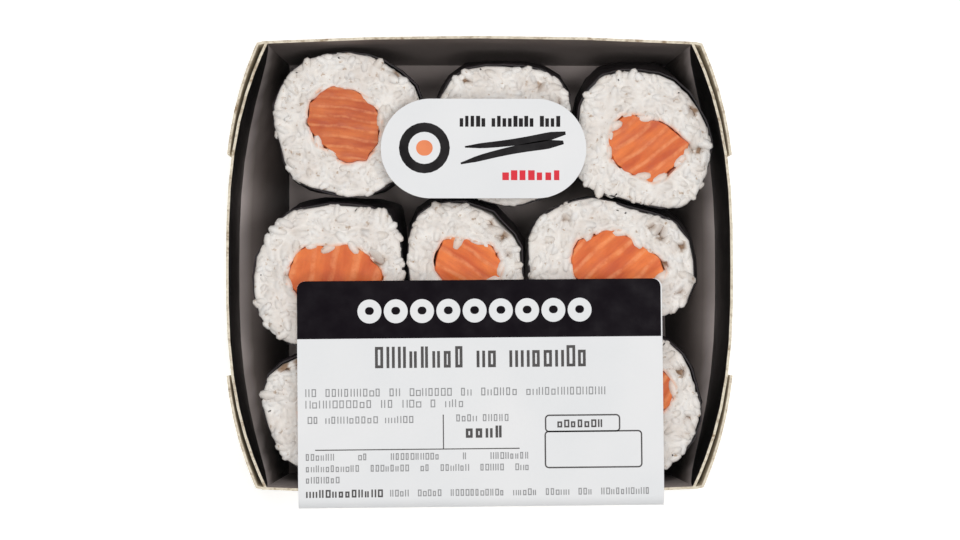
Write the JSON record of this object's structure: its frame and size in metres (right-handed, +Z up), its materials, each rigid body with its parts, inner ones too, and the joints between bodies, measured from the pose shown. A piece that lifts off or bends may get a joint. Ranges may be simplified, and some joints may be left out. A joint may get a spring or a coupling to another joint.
{
  "type": "takeaway sushi tray",
  "caption": "Folded paperboard tray with bowed sides, filled with salmon hosomaki rolls on end, under clear film with a plain sticker and a label that turns over the front rim.",
  "frame": {"origin": "middle of the underside of the tray's floor", "axes": "+Z up, +X to the right across the bowed sides, -Y to the front, where the label turns over the rim"},
  "size_m": [0.0996, 0.091, 0.0289],
  "materials": {
    "board": "black coated inside, natural cream outside and at the cut edges",
    "film": "clear, glossy",
    "paper": "coated, satin",
    "ink": "satin print",
    "rice": "moist, soft sheen",
    "nori": "moist, crinkled",
    "salmon": "moist, satin, with pale lines of fat"
  },
  "bodies": {
    "root": {"tray": "board", "rice_back_left": "rice", "nori_back_left": "nori", "salmon_back_left": "salmon", "rice_back_middle": "rice", "nori_back_middle": "nori", "salmon_back_middle": "salmon", "rice_back_right": "rice", "nori_back_right": "nori", "salmon_back_right": "salmon", "rice_middle_left": "rice", "nori_middle_left": "nori", "salmon_middle_left": "salmon", "rice_middle_middle": "rice", "nori_middle_middle": "nori", "salmon_middle_middle": "salmon", "rice_middle_right": "rice", "nori_middle_right": "nori", "salmon_middle_right": "salmon", "rice_front_left": "rice", "nori_front_left": "nori", "salmon_front_left": "salmon", "rice_front_middle": "rice", "nori_front_middle": "nori", "salmon_front_middle": "salmon", "rice_front_right": "rice", "nori_front_right": "nori", "salmon_front_right": "salmon", "film": "film", "sticker": "paper", "label": "paper", "label_header": "ink"}
  },
  "joints": []
}
